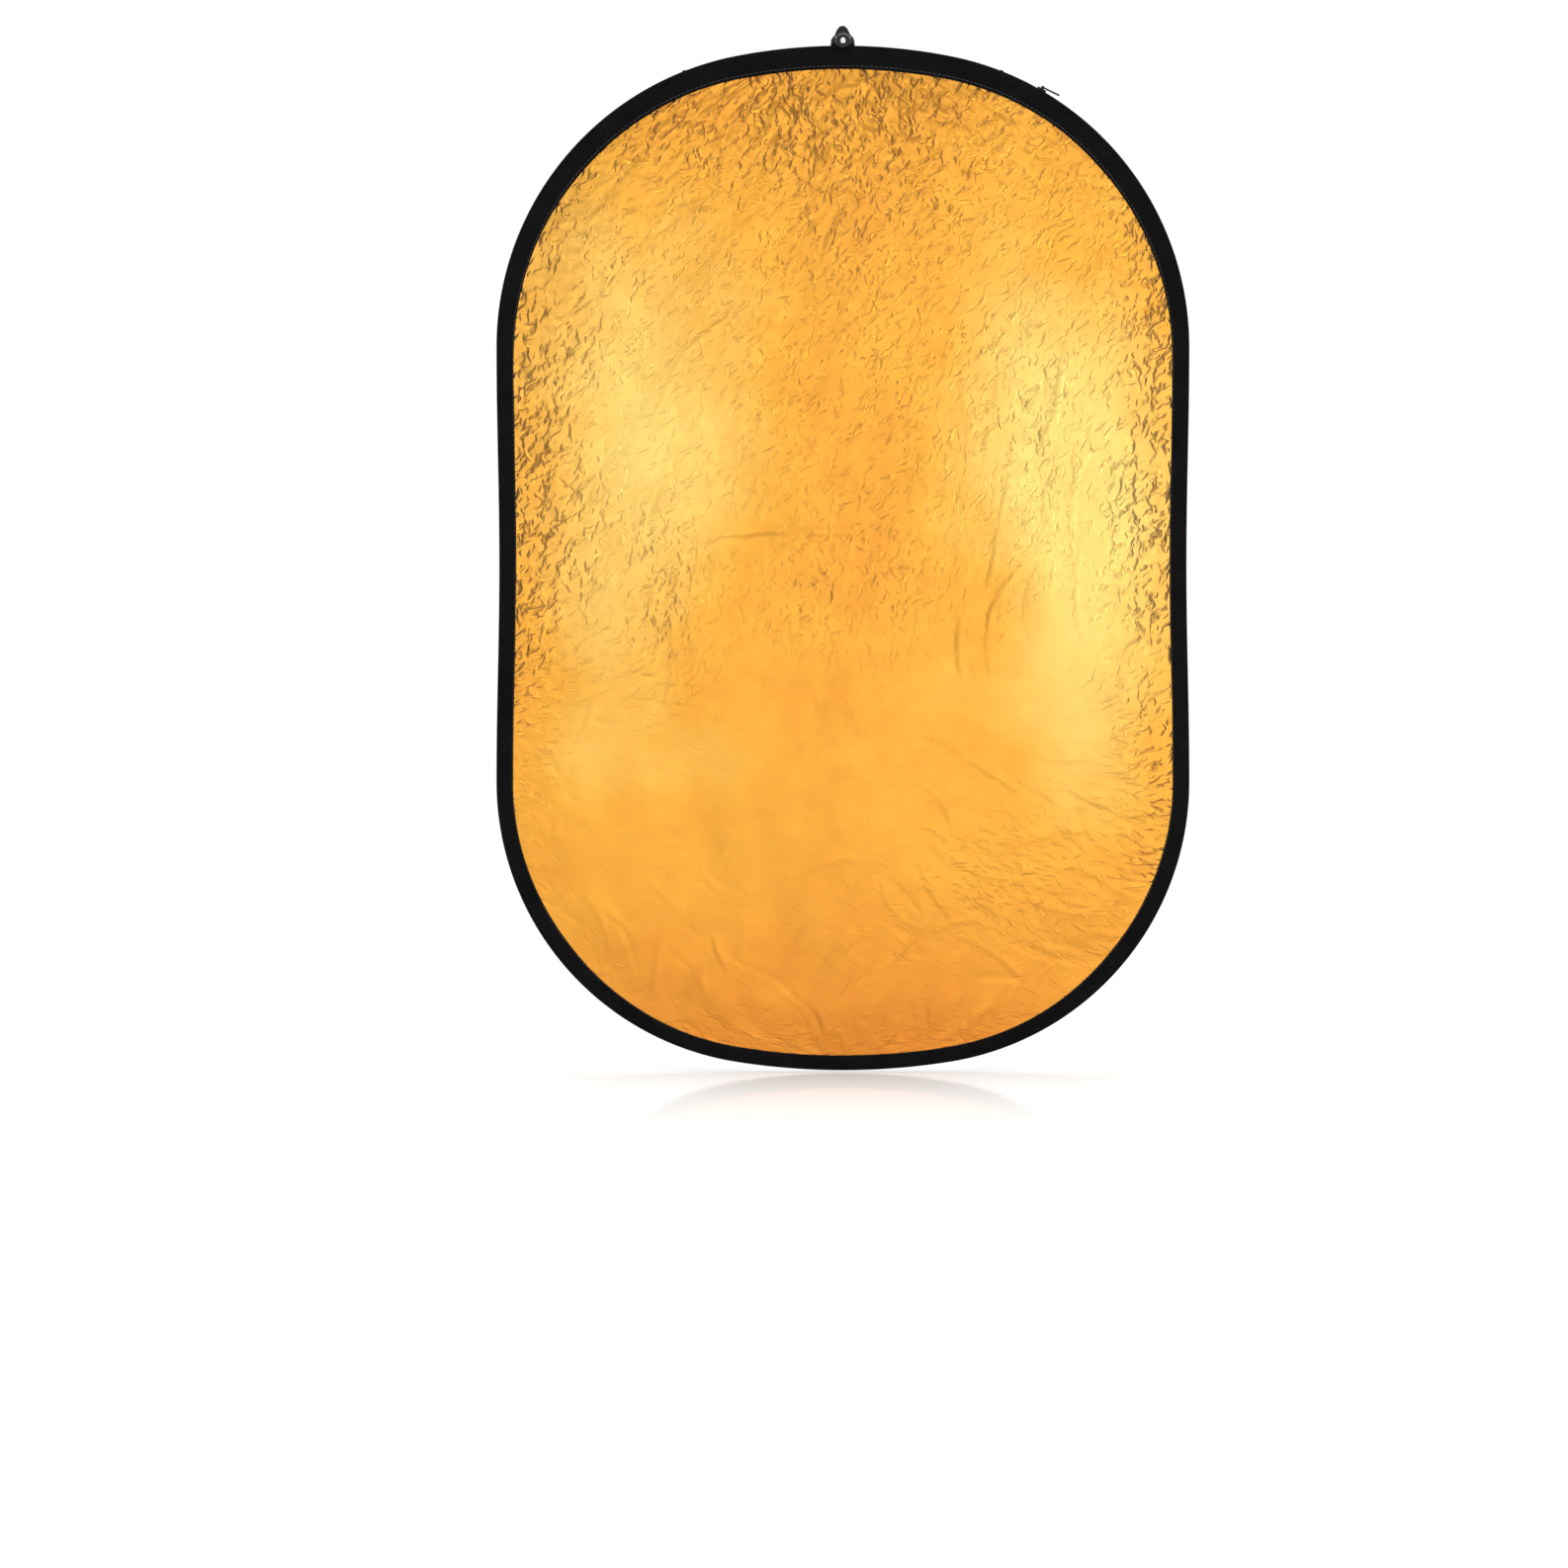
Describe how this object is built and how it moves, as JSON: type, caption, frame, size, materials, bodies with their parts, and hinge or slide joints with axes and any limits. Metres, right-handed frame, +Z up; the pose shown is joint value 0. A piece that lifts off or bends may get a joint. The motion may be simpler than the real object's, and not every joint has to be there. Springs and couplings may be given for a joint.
{
  "type": "collapsible reflector with stand holder",
  "caption": "Oval pop-up light reflector with a zip-off coloured cover over a diffuser, gripped at its rim by a spring-jaw holder for a light stand.",
  "frame": {"origin": "centre of the collar's lower rim, on the light stand's axis, where the spigot enters", "axes": "+Z up along the stand, the holder's arm along -Y, the reflector hanging in a plane parallel to XZ with its gold side towards -Y"},
  "size_m": [0.606, 0.0835, 0.9176],
  "materials": {
    "gold_foil": "crinkled metallised gold foil cloth",
    "silver_foil": "crinkled metallised silver foil cloth",
    "white_fabric": "matt white coated cloth",
    "black_fabric": "matt black coated cloth",
    "diffuser_fabric": "translucent white nylon",
    "binding_tape": "black woven binding tape, stitched",
    "spring_steel": "blued spring steel",
    "zipper_coil": "black nylon coil",
    "zip_metal": "black painted zinc",
    "black_abs": "satin moulded plastic",
    "knob_plastic": "polished",
    "chrome": "polished chrome plate",
    "screw_steel": "zinc plated"
  },
  "bodies": {
    "collar": {"stand_collar": "chrome", "collar_boss": "screw_steel"},
    "lock_screw": {"lock_screw": "screw_steel"},
    "lock_knob": {"lock_knob": "knob_plastic"},
    "arm": {"elbow_head": "black_abs", "swivel_screw": "screw_steel", "swivel_washer": "screw_steel", "plunger_shaft": "black_abs", "jaw_tip": "black_abs", "jaw_tip_screw": "screw_steel", "sleeve_spring": "spring_steel"},
    "reflector": {"spring_hoop": "spring_steel", "hoop_ferrule": "screw_steel", "diffuser_panel": "diffuser_fabric", "hoop_binding": "binding_tape", "white_face": "white_fabric", "black_lining": "black_fabric", "rear_binding": "binding_tape", "front_binding_header": "binding_tape", "zip_coil_rear": "zipper_coil", "zip_stop_right": "zip_metal", "zip_stop_left": "zip_metal"},
    "sleeve": {"grip_sleeve": "black_abs"},
    "cover_front": {"gold_face": "gold_foil", "silver_lining": "silver_foil", "front_binding": "binding_tape", "zip_coil_front": "zipper_coil"},
    "zip_runner": {"zip_slider": "zip_metal"},
    "zip_tab": {"zip_pull": "zip_metal"}
  },
  "joints": [
    {"name": "arm_swivel", "type": "hinge", "parent": "collar", "child": "arm", "pos_m": [0, 0, 0.032], "axis": [0, 0, 1], "continuous": true},
    {"name": "lock_screw_travel", "type": "slide", "parent": "collar", "child": "lock_screw", "axis": [0.9962, -0.0872, 0], "range_m": [-0.001, 0.002]},
    {"name": "lock_knob_turn", "type": "hinge", "parent": "lock_screw", "child": "lock_knob", "pos_m": [0, 0, 0.013], "axis": [0.9962, -0.0872, 0], "range_deg": [-366, 726]},
    {"name": "reflector_roll", "type": "hinge", "parent": "arm", "child": "reflector", "pos_m": [0, -0.058, 0.043], "axis": [0, 1, 0], "range_deg": [-90, 90]},
    {"name": "sleeve_slide", "type": "slide", "parent": "reflector", "child": "sleeve", "axis": [0, 1, 0], "range_m": [0, 0.011], "stiffness_N_per_m": 1500, "springref_m": -0.01, "deforming": ["sleeve_spring"]},
    {"name": "cover_flap", "type": "hinge", "parent": "reflector", "child": "cover_front", "pos_m": [0, -0.06215, 0.0288], "axis": [-1, 0, 0], "range_deg": [0, 110]},
    {"name": "zip_slide", "type": "hinge", "parent": "reflector", "child": "zip_runner", "pos_m": [0.0441, -0.058, -0.22335], "axis": [0, 1, 0], "range_deg": [0, 56]},
    {"name": "zip_pull_swing", "type": "hinge", "parent": "zip_runner", "child": "zip_tab", "pos_m": [0.17505, -0.058, 0.00347], "axis": [0, -1, 0], "range_deg": [0, 150]}
  ],
  "couplings": [
    {"joint": "lock_knob_turn", "follows": "lock_screw_travel", "rad_per_m": 6283.2}
  ]
}
